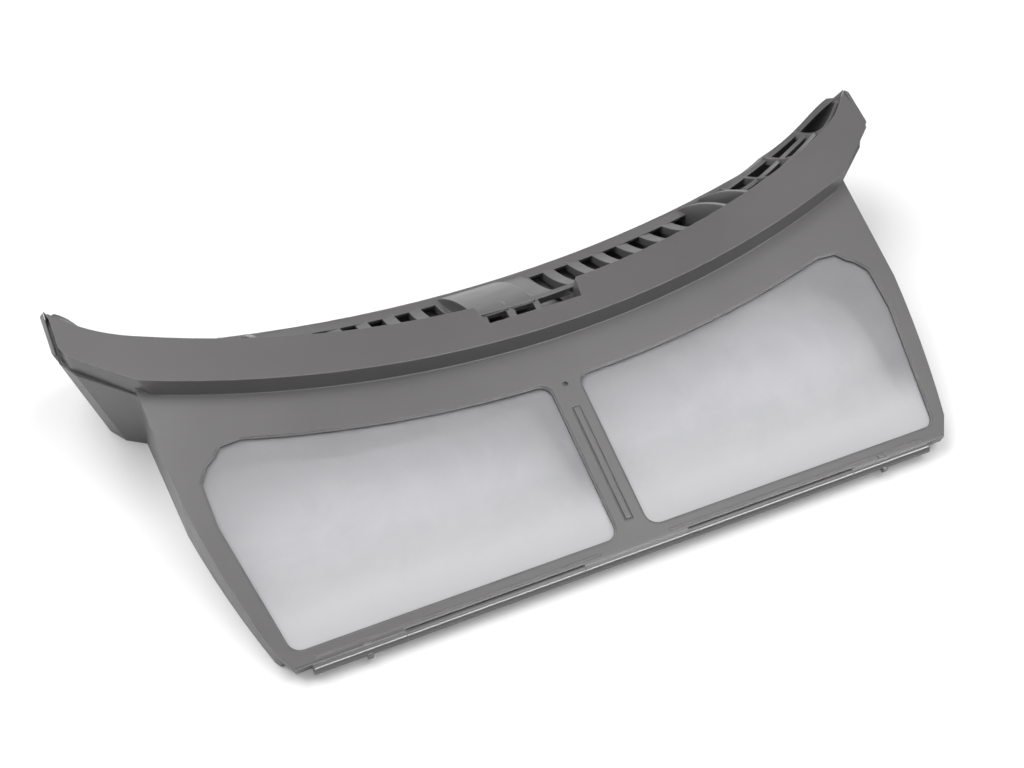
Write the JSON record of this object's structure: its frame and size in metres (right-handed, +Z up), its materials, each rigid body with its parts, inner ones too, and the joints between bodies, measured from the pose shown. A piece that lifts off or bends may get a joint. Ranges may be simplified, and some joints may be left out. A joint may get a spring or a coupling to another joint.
{
  "type": "tumble dryer lint filter",
  "caption": "Folding wedge-shaped lint filter: a mesh-windowed cover with a curved strip hinged to a deep rear half with a crescent grille and blunt ears.",
  "frame": {"origin": "middle of the base on the plane that the flat back rests on", "axes": "+X along the width and the hinge, +Y from the hinge edge to the rim, +Z up out of the back"},
  "size_m": [0.4256, 0.2166, 0.0698],
  "materials": {
    "grey_plastic": "semi-matt moulded",
    "lint_cloth": "fine woven cloth"
  },
  "bodies": {
    "rear_half": {"rear_frame": "grey_plastic", "rear_mesh_left": "lint_cloth", "rear_mesh_right": "lint_cloth"},
    "front_half": {"front_frame": "grey_plastic", "front_mesh_left": "lint_cloth", "front_mesh_right": "lint_cloth"}
  },
  "joints": [
    {"name": "front_hinge", "type": "hinge", "parent": "rear_half", "child": "front_half", "pos_m": [0, -0.10389, 0.00578], "axis": [1, 0, 0], "range_deg": [0, 120]}
  ]
}
